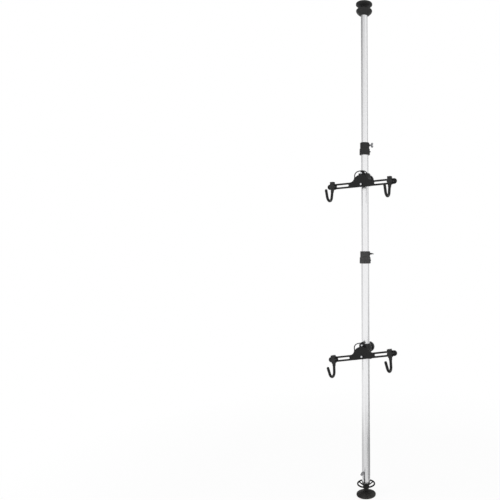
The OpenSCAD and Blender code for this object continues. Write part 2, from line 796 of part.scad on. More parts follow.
module hook_knob() {
    knob_r = hook_knob_d / 2;
    lobes = 7;
    color([0.12, 0.12, 0.13]) facing_front(-arm_y + hook_knob_t + face_gap) difference() {
        union() {
            rotate_extrude() rounded_slab(knob_r, hook_knob_t - 3, 2.5);
            cylinder(r = stud_d / 2 + 5, h = hook_knob_t);
        }
        translate([0, 0, 3]) cylinder(r = stud_d / 2 + run_gap, h = hook_knob_t);
        for (i = [0 : lobes - 1]) {
            rotate([0, 0, i * 360 / lobes]) translate([knob_r + 2.5, 0, -1]) cylinder(r = 5, h = hook_knob_t);
        }
    }
}

foot_pad();
foot_socket();
spindle();
handwheel();
spindle_nut();
lock_lever();
lever_pin();
lower_tube();
on_pole(lower_collar_z) collar(lower_r, middle_r);  // lower_collar
on_pole(lower_collar_z) collar_bush(middle_r);  // lower_collar_bush
on_pole(lower_collar_z) wing_screw(middle_r, 80);  // lower_collar_screw
middle_tube();
tube_guide(middle_r, lower_r - tube_wall, middle_tube_z);  // middle_tube_guide
on_upper_collar() collar(middle_r, top_r);  // upper_collar
on_upper_collar() collar_bush(top_r);  // upper_collar_bush
on_upper_collar() wing_screw(top_r, 20);  // upper_collar_screw
top_tube();
tube_guide(top_r, middle_r - tube_wall, top_tube_z);  // top_tube_guide
head_cap();
ceiling_pad();

on_pole(upper_cradle_z) sleeve(middle_r);  // upper_cradle_sleeve
on_pole(upper_cradle_z) clamp();  // upper_cradle_clamp
on_pole(upper_cradle_z) clamp_screw();  // upper_cradle_clamp_screw
on_pole(upper_cradle_z) clamp_washer();  // upper_cradle_clamp_washer
on_pole(upper_cradle_z) clamp_knob();  // upper_cradle_clamp_knob
on_pole(upper_cradle_z) pivot_bolt();  // upper_cradle_pivot_bolt
on_pole(upper_cradle_z) pivot_nut();  // upper_cradle_pivot_nut
on_pole(upper_cradle_z) stop_pin();  // upper_cradle_stop_pin
on_arm(upper_cradle_z, upper_tilt) arm();  // upper_cradle_arm
on_upper_hook(-hook_x) hook_block();  // upper_cradle_left_block
on_upper_hook(-hook_x) hook();  // upper_cradle_left_hook
on_upper_hook(-hook_x) hook_coating();  // upper_cradle_left_coating
on_upper_hook(-hook_x) hook_stud();  // upper_cradle_left_stud
on_upper_hook(-hook_x) hook_knob();  // upper_cradle_left_knob
on_upper_hook(hook_x) hook_block();  // upper_cradle_right_block
on_upper_hook(hook_x) hook();  // upper_cradle_right_hook
on_upper_hook(hook_x) hook_coating();  // upper_cradle_right_coating
on_upper_hook(hook_x) hook_stud();  // upper_cradle_right_stud
on_upper_hook(hook_x) hook_knob();  // upper_cradle_right_knob

on_pole(lower_cradle_z) sleeve(lower_r);  // lower_cradle_sleeve
on_pole(lower_cradle_z) clamp();  // lower_cradle_clamp
on_pole(lower_cradle_z) clamp_screw();  // lower_cradle_clamp_screw
on_pole(lower_cradle_z) clamp_washer();  // lower_cradle_clamp_washer
on_pole(lower_cradle_z) clamp_knob();  // lower_cradle_clamp_knob
on_pole(lower_cradle_z) pivot_bolt();  // lower_cradle_pivot_bolt
on_pole(lower_cradle_z) pivot_nut();  // lower_cradle_pivot_nut
on_pole(lower_cradle_z) stop_pin();  // lower_cradle_stop_pin
on_arm(lower_cradle_z, lower_tilt) arm();  // lower_cradle_arm
on_lower_hook(-hook_x) hook_block();  // lower_cradle_left_block
on_lower_hook(-hook_x) hook();  // lower_cradle_left_hook
on_lower_hook(-hook_x) hook_coating();  // lower_cradle_left_coating
on_lower_hook(-hook_x) hook_stud();  // lower_cradle_left_stud
on_lower_hook(-hook_x) hook_knob();  // lower_cradle_left_knob
on_lower_hook(hook_x) hook_block();  // lower_cradle_right_block
on_lower_hook(hook_x) hook();  // lower_cradle_right_hook
on_lower_hook(hook_x) hook_coating();  // lower_cradle_right_coating
on_lower_hook(hook_x) hook_stud();  // lower_cradle_right_stud
on_lower_hook(hook_x) hook_knob();  // lower_cradle_right_knob
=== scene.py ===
import json
import math

import bmesh
import bpy
from mathutils import Matrix, Vector


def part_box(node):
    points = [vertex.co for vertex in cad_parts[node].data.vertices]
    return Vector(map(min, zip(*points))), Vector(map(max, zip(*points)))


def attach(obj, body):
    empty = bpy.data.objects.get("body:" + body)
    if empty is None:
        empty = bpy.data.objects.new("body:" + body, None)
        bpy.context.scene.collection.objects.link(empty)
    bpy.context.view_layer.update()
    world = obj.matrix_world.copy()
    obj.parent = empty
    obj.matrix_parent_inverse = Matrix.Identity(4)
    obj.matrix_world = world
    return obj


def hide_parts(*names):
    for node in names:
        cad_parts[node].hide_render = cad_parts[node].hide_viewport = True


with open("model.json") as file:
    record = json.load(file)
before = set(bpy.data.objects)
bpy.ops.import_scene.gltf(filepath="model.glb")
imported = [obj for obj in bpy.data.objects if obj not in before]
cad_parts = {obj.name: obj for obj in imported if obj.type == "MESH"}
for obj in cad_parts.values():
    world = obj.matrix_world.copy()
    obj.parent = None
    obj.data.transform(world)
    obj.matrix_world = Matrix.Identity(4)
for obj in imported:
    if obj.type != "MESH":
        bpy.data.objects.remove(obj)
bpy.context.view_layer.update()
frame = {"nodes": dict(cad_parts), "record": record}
nodes = frame["nodes"]
slotOfNode = {part["node"]: part["material_slot"] for part in frame["record"]["subparts"]}


# Camera: nearly level, round to the right of the hooks' front, with the pole right of the middle
cameraSettings = {
    "imageSize": 500, "focalPixels": 500, "sensorWidth": 36,
    "poleColumn": 365.12, "horizonRow": 250,
    "azimuth": 23, "distance": 2.75, "height": 1.346, "roll": -0.24,
}


def rotation(degrees, axis, size=4):
    return Matrix.Rotation(math.radians(degrees), size, axis)


def makeCamera(view):
    data = bpy.data.cameras.new("photoCamera")
    data.sensor_width = view["sensorWidth"]
    data.lens = data.sensor_width * view["focalPixels"] / view["imageSize"]
    data.shift_x = 0.5 - view["poleColumn"] / view["imageSize"]
    data.shift_y = view["horizonRow"] / view["imageSize"] - 0.5
    camera = bpy.data.objects.new("photoCamera", data)
    turn = math.radians(view["azimuth"])
    east, north = view["distance"] * math.sin(turn), -view["distance"] * math.cos(turn)
    place = Matrix.Translation((east, north, view["height"]))
    level = rotation(view["azimuth"], "Z") @ rotation(90, "X")
    camera.matrix_world = place @ level @ rotation(view["roll"], "Z")
    bpy.context.scene.collection.objects.link(camera)
    bpy.context.scene.camera = camera
    bpy.context.scene.view_settings.view_transform = "Standard"


makeCamera(cameraSettings)
print("camera set")


# Shader maths: an expression on values adds its Math nodes
class Value:
    def __init__(self, nodeTree, socket):
        self.nodeTree = nodeTree
        self.socket = socket

    def maths(self, operation, other, swapped=False):
        pair = {0: other, 1: self} if swapped else {0: self, 1: other}
        return self.nodeTree.add("ShaderNodeMath", {"operation": operation}, pair)

    def __add__(self, other):
        return self.maths("ADD", other)

    def __radd__(self, other):
        return self.maths("ADD", other)

    def __sub__(self, other):
        return self.maths("SUBTRACT", other)

    def __rsub__(self, other):
        return self.maths("SUBTRACT", other, True)

    def __mul__(self, other):
        return self.maths("MULTIPLY", other)

    def __truediv__(self, other):
        return self.maths("DIVIDE", other)

    def above(self, edge, softness):
        # 0 below the edge and 1 above it, with a soft step between
        scaled = (self - (edge - softness / 2)) / softness
        return self.nodeTree.add("ShaderNodeClamp", {}, {"Value": scaled})


# Every node but the ready-made ones comes from add: its type, its settings, its sockets and the output to use
class NodeTree:
    def __init__(self, tree):
        self.tree = tree

    def feed(self, socket, value):
        if isinstance(value, Value):
            self.tree.links.new(value.socket, socket)
        else:
            socket.default_value = value

    def add(self, kind, settings, sockets, output=0):
        node = self.tree.nodes.new(kind)
        for key, value in settings.items():
            setattr(node, key, value)
        for key, value in sockets.items():
            self.feed(node.inputs[key], value)
        return Value(self, node.outputs[output])

    def show(self, surface, outputName):
        self.feed(self.tree.nodes[outputName].inputs["Surface"], surface)

    def whiteToCamera(self, lighting, seen):
        # First surface for rays that only light the object, second for what is seen or mirrored
        isCamera = self.add("ShaderNodeLightPath", {}, {}, "Is Camera Ray")
        isGlossy = self.add("ShaderNodeLightPath", {}, {}, "Is Glossy Ray")
        isThrough = self.add("ShaderNodeLightPath", {}, {}, "Is Transmission Ray")
        share = isCamera.maths("MAXIMUM", isGlossy).maths("MAXIMUM", isThrough)
        return self.add("ShaderNodeMixShader", {}, {0: share, 1: lighting, 2: seen})


class Shader(NodeTree):
    def __init__(self, name, **constants):
        self.material = bpy.data.materials.new(name)
        self.material.use_nodes = True
        super().__init__(self.material.node_tree)
        self.surface = self.tree.nodes["Principled BSDF"]
        for socket, value in constants.items():
            self.surface.inputs[socket.replace("_", " ")].default_value = value

    def place(self, squeeze=1):
        # A squeeze under 1 draws a pattern out along the pole
        spot = self.add("ShaderNodeTexCoord", {}, {}, "Object")
        return self.add("ShaderNodeMapping", {}, {"Vector": spot, "Scale": (1, 1, squeeze)})

    def coordinate(self, axis):
        return self.add("ShaderNodeSeparateXYZ", {}, {"Vector": self.place()}, axis)

    def noise(self, scale, detail, roughness, squeeze=1):
        return self.add("ShaderNodeTexNoise", {}, {
            "Vector": self.place(squeeze), "Scale": scale, "Detail": detail, "Roughness": roughness})

    def mix(self, factor, first, second):
        return self.add("ShaderNodeMix", {"data_type": "RGBA"}, {0: factor, 6: first, 7: second}, 2)

    def bump(self, height, strength, depth):
        return self.add("ShaderNodeBump", {}, {"Strength": strength, "Distance": depth, "Height": height})

    def finish(self, **sockets):
        for socket, value in sockets.items():
            self.feed(self.surface.inputs[socket.replace("_", " ")], value)
        return self.material


def grey(level, warm=0.0):
    return (level * (1 + warm), level, level * (1 - warm), 1)


# Finishes, by the record's slot or by a name of their own. In each dictionary a noise is its scale,
# detail and roughness, and its squeeze along the pole if it has one. An edge is its place and softness.
finishes = {}


# Satin anodised aluminium: long draw lines, soft blotches and a few rubbed patches
tubeFinish = {
    "lines": (900, 3, 0.6, 0.004), "blotch": (14, 4, 0.55, 0.25), "rub": (40, 5, 0.65, 0.06),
    "rubEdge": (0.62, 0.12), "rubAmount": 0.25, "lineShare": 0.6,
    "roughness": 0.2, "lineRoughness": 0.08, "blotchRoughness": 0.08, "rubPolish": 0.05,
    "bump": 0.12, "bumpDepth": 0.0002,
    "darkColour": (0.85, 0.85, 0.86, 1), "lightColour": (0.93, 0.93, 0.94, 1),
    "rubColour": (0.78, 0.78, 0.79, 1),
}


def anodisedAluminium(name, look):
    shader = Shader(name, Metallic=1.0)
    lines = shader.noise(*look["lines"])
    blotch = shader.noise(*look["blotch"])
    rub = shader.noise(*look["rub"]).above(*look["rubEdge"])
    tone = lines * look["lineShare"] + blotch * (1 - look["lineShare"])
    colour = shader.mix(tone, look["darkColour"], look["lightColour"])
    roughness = look["roughness"] + lines * look["lineRoughness"] + blotch * look["blotchRoughness"]
    return shader.finish(
        Base_Color=shader.mix(rub * look["rubAmount"], colour, look["rubColour"]),
        Roughness=roughness - rub * look["rubPolish"],
        Normal=shader.bump(lines, look["bump"], look["bumpDepth"]))


finishes["tube_metal"] = anodisedAluminium("anodisedTube", tubeFinish)


# Powder coat, enamel and dipped vinyl: orange peel, cloudy tone and small rubbed spots
coatBasics = {"speckEdge": (0.66, 0.06), "speckRoughness": 0.12, "bumpDepth": 0.0003}
armFinish = {
    **coatBasics, "peel": (900, 2, 0.5), "cloud": (35, 4, 0.6), "speck": (160, 3, 0.7), "speckAmount": 0.35,
    "roughness": 0.42, "roughnessSpread": 0.16, "specular": 0.2, "bump": 0.25,
    "darkColour": grey(0.007), "lightColour": grey(0.014), "speckColour": grey(0.06),
}
hookFinish = {
    **coatBasics, "peel": (260, 2, 0.5), "cloud": (50, 4, 0.6), "speck": (220, 3, 0.7), "speckAmount": 0.18,
    "roughness": 0.34, "roughnessSpread": 0.12, "specular": 0.2, "bump": 0.2,
    "darkColour": grey(0.007), "lightColour": grey(0.014), "speckColour": grey(0.05),
}
castFinish = {
    **coatBasics, "peel": (420, 2, 0.5), "cloud": (40, 4, 0.6), "speck": (180, 3, 0.7), "speckAmount": 0.3,
    "roughness": 0.44, "roughnessSpread": 0.16, "specular": 0.24, "bump": 0.5,
    "darkColour": grey(0.012), "lightColour": grey(0.026), "speckColour": grey(0.09),
}


def speckledCoat(name, look):
    shader = Shader(name, Specular_IOR_Level=look["specular"])
    peel = shader.noise(*look["peel"])
    cloud = shader.noise(*look["cloud"])
    speck = shader.noise(*look["speck"]).above(*look["speckEdge"])
    colour = shader.mix(cloud, look["darkColour"], look["lightColour"])
    roughness = look["roughness"] + (cloud - 0.5) * look["roughnessSpread"]
    return shader.finish(
        Base_Color=shader.mix(speck * look["speckAmount"], colour, look["speckColour"]),
        Roughness=roughness + speck * look["speckRoughness"],
        Normal=shader.bump(peel, look["bump"], look["bumpDepth"]))


finishes["arm_coat"] = speckledCoat("blackPowderCoat", armFinish)
finishes["hook_vinyl"] = speckledCoat("dippedHookVinyl", hookFinish)
finishes["cast_metal"] = speckledCoat("darkCastEnamel", castFinish)


# Moulded plastic: fine spark-eroded texture, faint flow marks and lighter scuffs
plasticBasics = {
    "grain": (1400, 2, 0.6), "flow": (45, 4, 0.55, 0.3), "scuff": (140, 5, 0.7, 4), "scuffEdge": (0.63, 0.08),
    "scuffAmount": 0.3, "flowRoughness": 0.12, "scuffRoughness": 0.15, "bump": 0.3, "bumpDepth": 0.0002,
}
blackPlasticFinish = {
    **plasticBasics, "roughness": 0.46, "specular": 0.24,
    "darkColour": grey(0.014), "lightColour": grey(0.028), "scuffColour": grey(0.08),
}
# The handwheel's plastic is painted darker than the other black plastic: painted shade standing in for less
# light on its rim
wheelPaintedShadeFinish = {
    **plasticBasics, "scuffAmount": 0.25, "roughness": 0.5, "specular": 0.16,
    "darkColour": grey(0.005), "lightColour": grey(0.011), "scuffColour": grey(0.05),
}
wornCollarFinish = {
    **plasticBasics, "flow": (60, 4, 0.55, 0.3), "scuff": (110, 5, 0.7, 4), "scuffAmount": 0.5,
    "roughness": 0.44, "specular": 0.3,
    "darkColour": grey(0.026), "lightColour": grey(0.06), "scuffColour": grey(0.14),
}
bushFinish = {
    **plasticBasics, "grain": (1200, 2, 0.6), "flow": (60, 4, 0.55, 0.3), "scuff": (160, 5, 0.7, 4),
    "scuffAmount": 0.4, "bump": 0.25, "roughness": 0.5, "specular": 0.3,
    "darkColour": grey(0.03), "lightColour": grey(0.05), "scuffColour": grey(0.12),
}


def mouldedPlastic(name, look):
    shader = Shader(name, Specular_IOR_Level=look["specular"])
    grain = shader.noise(*look["grain"])
    flow = shader.noise(*look["flow"])
    scuff = shader.noise(*look["scuff"]).above(*look["scuffEdge"])
    colour = shader.mix(flow, look["darkColour"], look["lightColour"])
    roughness = look["roughness"] + (flow - 0.5) * look["flowRoughness"]
    return shader.finish(
        Base_Color=shader.mix(scuff * look["scuffAmount"], colour, look["scuffColour"]),
        Roughness=roughness + scuff * look["scuffRoughness"],
        Normal=shader.bump(grain, look["bump"], look["bumpDepth"]))


finishes["black_plastic"] = mouldedPlastic("blackMouldedPlastic", blackPlasticFinish)
finishes["bush_plastic"] = mouldedPlastic("greyBushPlastic", bushFinish)
# The handwheel's darker plastic is painted shade
finishes["wheelPlasticPaintedShade"] = mouldedPlastic("wheelPlasticWithPaintedShade", wheelPaintedShadeFinish)
finishes["wornPlastic"] = mouldedPlastic("wornCollarPlastic", wornCollarFinish)


# Rubber: matt and grainy, with faint bloom, and dust that settles near the floor
rubberBasics = {
    "grain": (1500, 3, 0.65), "bloomEdge": (0.45, 0.3), "bloomRoughness": 0.1,
    "dustEdge": (0.014, 0.02), "dustRoughness": 0.08, "dustColour": grey(0.1, 0.05),
    "bump": 0.4, "bumpDepth": 0.0004,
}
footFinish = {
    **rubberBasics, "bloom": (40, 4, 0.6), "dustAmount": 0.3, "roughness": 0.66, "specular": 0.2,
    "darkColour": grey(0.009), "lightColour": grey(0.018),
}
# The ceiling pad's rubber is painted lighter than the foot's: a painted reflection of the cap's flange,
# spread over the whole pad
ceilingPadPaintedReflectionFinish = {
    **rubberBasics, "bloom": (55, 4, 0.6), "dustAmount": 0.0, "roughness": 0.6, "specular": 0.26,
    "darkColour": grey(0.014), "lightColour": grey(0.032),
}


def rubberSkin(name, look):
    shader = Shader(name, Specular_IOR_Level=look["specular"])
    grain = shader.noise(*look["grain"])
    bloom = shader.noise(*look["bloom"])
    dust = (1 - shader.coordinate("Z").above(*look["dustEdge"])) * bloom.above(*look["bloomEdge"])
    colour = shader.mix(bloom, look["darkColour"], look["lightColour"])
    roughness = look["roughness"] + bloom * look["bloomRoughness"] + dust * look["dustRoughness"]
    return shader.finish(
        Base_Color=shader.mix(dust * look["dustAmount"], colour, look["dustColour"]), Roughness=roughness,
        Normal=shader.bump(grain, look["bump"], look["bumpDepth"]))


finishes["black_rubber"] = rubberSkin("blackFootRubber", footFinish)
# The ceiling pad's lighter rubber is a painted reflection
finishes["ceilingRubberPaintedReflection"] = rubberSkin("ceilingRubberWithPaintedReflection", ceilingPadPaintedReflectionFinish)


# Zinc plate, bright, dull or blackened: clouding and a rolled grain
zincFinish = {
    "cloud": (130, 5, 0.65), "grain": (1300, 2, 0.5), "roughness": 0.22, "roughnessSpread": 0.18,
    "bump": 0.15, "bumpDepth": 0.0002,
    "darkColour": (0.5, 0.51, 0.53, 1), "lightColour": (0.74, 0.75, 0.77, 1),
}
dullZincFinish = {
    "cloud": (110, 5, 0.65), "grain": (1100, 2, 0.5), "roughness": 0.3, "roughnessSpread": 0.2,
    "bump": 0.2, "bumpDepth": 0.0002,
    "darkColour": (0.2, 0.2, 0.21, 1), "lightColour": (0.36, 0.36, 0.37, 1),
}
oiledSteelFinish = {
    "cloud": (120, 5, 0.65), "grain": (1000, 2, 0.5), "roughness": 0.34, "roughnessSpread": 0.2,
    "bump": 0.25, "bumpDepth": 0.0002,
    "darkColour": (0.045, 0.045, 0.047, 1), "lightColour": (0.11, 0.11, 0.115, 1),
}


def zincPlate(name, look):
    shader = Shader(name, Metallic=1.0)
    cloud = shader.noise(*look["cloud"])
    grain = shader.noise(*look["grain"])
    return shader.finish(
        Base_Color=shader.mix(cloud, look["darkColour"], look["lightColour"]),
        Roughness=look["roughness"] + cloud * look["roughnessSpread"],
        Normal=shader.bump(grain, look["bump"], look["bumpDepth"]))


finishes["bright_steel"] = zincPlate("zincPlatedSteel", zincFinish)
finishes["dullSteel"] = zincPlate("dullZincPlatedSteel", dullZincFinish)
finishes["oiledSteel"] = zincPlate("oiledBlackSteel", oiledSteelFinish)


# The pivot's nut: a bright dome in a blackened rim, both turned about the pivot's axis
domeNutFinish = {
    "domeEdge": (0.0062, 0.0006), "cloud": (150, 4, 0.6),
    "roughness": 0.2, "rimRoughness": 0.2, "cloudRoughness": 0.1, "bump": 0.1, "bumpDepth": 0.0002,
    "darkColour": (0.72, 0.73, 0.75, 1), "lightColour": (0.85, 0.86, 0.88, 1),
    "rimColour": (0.03, 0.03, 0.032, 1),
}


def domeNutSteel(name, look, axisHeight):
    shader = Shader(name, Metallic=1.0)
    x = shader.coordinate("X")
    z = shader.coordinate("Z") - axisHeight
    rim = (x * x + z * z).maths("POWER", 0.5).above(*look["domeEdge"])
    cloud = shader.noise(*look["cloud"])
    dome = shader.mix(cloud, look["darkColour"], look["lightColour"])
    roughness = look["roughness"] + rim * look["rimRoughness"] + cloud * look["cloudRoughness"]
    return shader.finish(
        Base_Color=shader.mix(rim, dome, look["rimColour"]), Roughness=roughness,
        Normal=shader.bump(cloud, look["bump"], look["bumpDepth"]))


# Pieces whose plate has gone dull or was blackened and whose plastic is more worn; the handwheel's plastic is
# darker as painted shade, and the ceiling pad's rubber is lighter as a painted reflection
specialFinishes = {
    "lock_lever": "dullSteel", "upper_collar_screw": "dullSteel", "lower_collar_screw": "oiledSteel",
    "handwheel": "wheelPlasticPaintedShade", "lower_collar": "wornPlastic", "ceiling_pad": "ceilingRubberPaintedReflection",
}
for cradle in ("upper_cradle", "lower_cradle"):
    low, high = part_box(cradle + "_pivot_bolt")
    specialFinishes[cradle + "_pivot_nut"] = cradle + "Dome"
    finishes[cradle + "Dome"] = domeNutSteel(cradle + "DomeNut", domeNutFinish, (low.z + high.z) / 2)


def finishOf(nodeName):
    return finishes[specialFinishes.get(nodeName, slotOfNode[nodeName])]


for nodeName, node in nodes.items():
    node.data.materials.clear()
    node.data.materials.append(finishOf(nodeName))
print("finishes set:", len(finishes))


mergeDistance = 1e-6  # points of one shape that lie closer than this are one point


def linkObject(name, shape):
    mesh = bpy.data.meshes.new(name)
    shape.to_mesh(mesh)
    shape.free()
    linked = bpy.data.objects.new(name, mesh)
    bpy.context.scene.collection.objects.link(linked)
    return linked


# Takes a finished shape, gives it its node's finish, and rides it on a body in that node's place
def addPiece(name, shape, body, nodeName, creaseAngle=35):
    for face in shape.faces:
        face.smooth = True
    piece = linkObject(name, shape)
    piece.data.set_sharp_from_angle(angle=math.radians(creaseAngle))
    piece.data.materials.append(finishOf(nodeName))
    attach(piece, body)
    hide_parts(nodeName)
    return piece


def turnShape(shape, degrees, axis):
    bmesh.ops.rotate(shape, verts=shape.verts, cent=(0, 0, 0), matrix=rotation(degrees, axis, 3))


def chain(shape, outline):
    # Points of (radius, height) and the edges that join them, for a spin round Z
    verts = [shape.verts.new((radius, 0, height)) for radius, height in outline]
    return verts, [shape.edges.new(pair) for pair in zip(verts, verts[1:])]


# Spins a closed outline of (radius, height) points all the way round Z
def turnedSolid(outline, sides):
    shape = bmesh.new()
    verts, edges = chain(shape, outline)
    edges.append(shape.edges.new((verts[-1], verts[0])))
    bmesh.ops.spin(
        shape, geom=verts + edges, cent=(0, 0, 0), axis=(0, 0, 1), angle=math.tau, steps=sides,
        use_merge=True)
    bmesh.ops.remove_doubles(shape, verts=shape.verts, dist=mergeDistance)
    onAxis = [edge for edge in shape.edges if not edge.link_faces]
    bmesh.ops.delete(shape, geom=onAxis, context="EDGES")
    bmesh.ops.recalc_face_normals(shape, faces=shape.faces)
    return shape


# Joins or cuts two closed shapes
def combined(first, second, operation):
    base, tool = linkObject("base", first), linkObject("tool", second)
    step = base.modifiers.new("combine", "BOOLEAN")
    step.operation = operation
    step.solver = "EXACT"
    step.object = tool
    settled = base.evaluated_get(bpy.context.evaluated_depsgraph_get())
    result = bmesh.new()
    result.from_mesh(settled.to_mesh())
    settled.to_mesh_clear()
    for part in (base, tool):
        mesh = part.data
        bpy.data.objects.remove(part)
        bpy.data.meshes.remove(mesh)
    return result


# Puts two closed shells in one shape
def joined(first, second):
    mesh = bpy.data.meshes.new("shell")
    second.to_mesh(mesh)
    second.free()
    first.from_mesh(mesh)
    bpy.data.meshes.remove(mesh)
    return first


def boxShape(low, high):
    shape = bmesh.new()
    bmesh.ops.create_cube(shape, size=1)
    bmesh.ops.scale(shape, vec=[b - a for a, b in zip(low, high)], verts=shape.verts)
    bmesh.ops.translate(shape, vec=[(a + b) / 2 for a, b in zip(low, high)], verts=shape.verts)
    return shape


# Tubes: finely round, with their sawn ends broken inside and out
tubeSettings = {
    "sides": 96, "wall": 0.0015, "brokenEdge": 0.0003,
    "bodies": {"lower_tube": "lower_pole", "middle_tube": "middle_pole", "top_tube": "top_pole"},
    "leverSlot": {"node": "lower_tube", "width": 0.008, "low": 0.074, "high": 0.097, "beyond": 0.01},
}


def makeTube(nodeName, body, tube):
    low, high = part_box(nodeName)
    outer = (high.x - low.x) / 2
    inner = outer - tube["wall"]
    edge = tube["brokenEdge"]
    shape = turnedSolid([
        (inner, low.z + edge), (inner + edge, low.z), (outer - edge, low.z), (outer, low.z + edge),
        (outer, high.z - edge), (outer - edge, high.z), (inner + edge, high.z), (inner, high.z - edge),
    ], tube["sides"])
    slot = tube["leverSlot"]
    if nodeName == slot["node"]:
        half = slot["width"] / 2
        cutter = boxShape((-half, -outer - slot["beyond"], slot["low"]), (half, 0, slot["high"]))
        shape = combined(shape, cutter, "DIFFERENCE")
    addPiece(nodeName + "_round", shape, body, nodeName)


for nodeName, body in tubeSettings["bodies"].items():
    makeTube(nodeName, body, tubeSettings)
print("tubes made")


# Head cap: plug in the tube, and a round-bellied flange that sits on the tube's end
headCapSettings = {
    "sides": 96, "plug": 0.045, "chamfer": 0.001,
    # Radius and height above the end of the tube: out along the belly, over the rim and in to the neck
    "belly": [
        (0.0215, 0.0), (0.0243, 0.0014), (0.0282, 0.0048), (0.0318, 0.0082), (0.0352, 0.0112),
        (0.0382, 0.0141), (0.0407, 0.0169), (0.0427, 0.0199), (0.0440, 0.0231), (0.0445, 0.0264)],
    "rim": [(0.0438, 0.029), (0.0421, 0.031), (0.039, 0.0324)],
    "neck": [(0.0305, 0.0353), (0.0245, 0.0372), (0.0205, 0.0393), (0.0182, 0.0421), (0.0175, 0.0455)],
}


def makeHeadCap(cap):
    low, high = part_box("head_cap")
    tubeLow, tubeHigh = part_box("top_tube")
    tubeEnd = low.z + cap["plug"]
    inner = (tubeHigh.x - tubeLow.x) / 2 - tubeSettings["wall"]
    outline = [(0, low.z), (inner - cap["chamfer"], low.z), (inner, low.z + cap["chamfer"]), (inner, tubeEnd)]
    outline += [(radius, tubeEnd + height) for radius, height in cap["belly"] + cap["rim"] + cap["neck"]]
    outline += [(cap["neck"][-1][0], high.z), (0, high.z)]
    addPiece("head_cap_turned", turnedSolid(outline, cap["sides"]), "top_pole", "head_cap")


makeHeadCap(headCapSettings)
print("head cap made")


# Screw threads: the outline of one turn, by its share of the lead
threadShares = {"rootEnd": 0.24, "crestStart": 0.4, "crestEnd": 0.84}
cutDistance = 1e-7  # points closer to a cutting plane than this are on it


def threadedRod(low, high, thread):
    # One turn of the outline, spun up the helix past both ends and then cut flat
    lead, crest, root = thread["lead"], thread["crestRadius"], thread["rootRadius"]
    outline = [
        (root, 0), (root, threadShares["rootEnd"]), (crest, threadShares["crestStart"]),
        (crest, threadShares["crestEnd"]), (root, 1)]
    turns = math.ceil((high - low) / lead) + 1
    shape = bmesh.new()
    verts, edges = chain(shape, [(radius, low + (share - 1) * lead) for radius, share in outline])
    bmesh.ops.spin(
        shape, geom=verts + edges, cent=(0, 0, 0), axis=(0, 0, 1), dvec=(0, 0, lead / thread["stepsPerTurn"]),
        angle=math.tau * turns, steps=thread["stepsPerTurn"] * turns, use_merge=False)
    bmesh.ops.remove_doubles(shape, verts=shape.verts, dist=mergeDistance)
    for height, above in ((low, False), (high, True)):
        bmesh.ops.bisect_plane(
            shape, geom=shape.verts[:] + shape.edges[:] + shape.faces[:], dist=cutDistance,
            plane_co=(0, 0, height), plane_no=(0, 0, 1), clear_outer=above, clear_inner=not above)
    rims = [edge for edge in shape.edges if edge.is_boundary]
    bmesh.ops.holes_fill(shape, edges=rims, sides=0)
    bmesh.ops.recalc_face_normals(shape, faces=shape.faces)
    return shape


# Jack spindle: plain shank below, trapezoid thread above
spindleSettings = {
    "thread": {"lead": 0.004, "crestRadius": 0.008, "rootRadius": 0.0065, "stepsPerTurn": 32},
    "threadStart": 0.066, "chamfer": 0.0015, "sides": 48,
}


def makeSpindle(spindle):
    low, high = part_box("spindle")
    thread, start, chamfer = spindle["thread"], spindle["threadStart"], spindle["chamfer"]
    radius = thread["crestRadius"]
    shank = turnedSolid(
        [(0, low.z), (radius - chamfer, low.z), (radius, low.z + chamfer), (radius, start), (0, start)],
        spindle["sides"])
    addPiece("spindle_thread", joined(shank, threadedRod(start, high.z, thread)), "jack", "spindle")


makeSpindle(spindleSettings)
print("spindle made")


# Wing screws of the two collars: threaded shaft, tapered hub and two rounded wings.
# Tip, face and end are how far the shaft's tip, the hub's foot and the wings' edge lie from the pole's axis.
wingSettings = {
    "thread": {"lead": 0.001, "crestRadius": 0.003, "rootRadius": 0.0025, "stepsPerTurn": 20},
    "shaftInHub": 0.002,
    "hub": {"footRadius": 0.0050, "endRadius": 0.0040, "edge": 0.0006, "sides": 32},
    "wing": {
        "radius": 0.0066, "thickness": 0.004, "offset": 0.0069, "taper": 0.35, "sides": 40,
        "edge": 0.0014, "edgeSegments": 4, "edgeAngle": 60},
    "screws": {
        "lower_collar_screw": {
            "body": "lower_wing_screw", "height": 1.3255, "around": 0, "turn": 80,
            "tip": 0.0234, "face": 0.0298, "end": 0.049},
        "upper_collar_screw": {
            "body": "upper_wing_screw", "height": 1.9215, "around": 20, "turn": 20,
            "tip": 0.02165, "face": 0.02805, "end": 0.04725},
    },
}


def makeWing(wing, end, side):
    shape = bmesh.new()
    bmesh.ops.create_cone(
        shape, cap_ends=True, segments=wing["sides"], radius1=wing["radius"], radius2=wing["radius"],
        depth=wing["thickness"])
    rims = [edge for edge in shape.edges if edge.calc_face_angle(0) > math.radians(wing["edgeAngle"])]
    bmesh.ops.bevel(
        shape, geom=rims, offset=wing["edge"], affect="EDGES", segments=wing["edgeSegments"], profile=0.5,
        material=-1, clamp_overlap=True)
    turnShape(shape, 90, "X")
    bmesh.ops.translate(shape, verts=shape.verts, vec=(end - wing["radius"], 0, side * wing["offset"]))
    reach = wing["offset"] + wing["radius"]
    for vert in shape.verts:
        vert.co.y *= 1 - wing["taper"] * abs(vert.co.z) / reach
    return shape


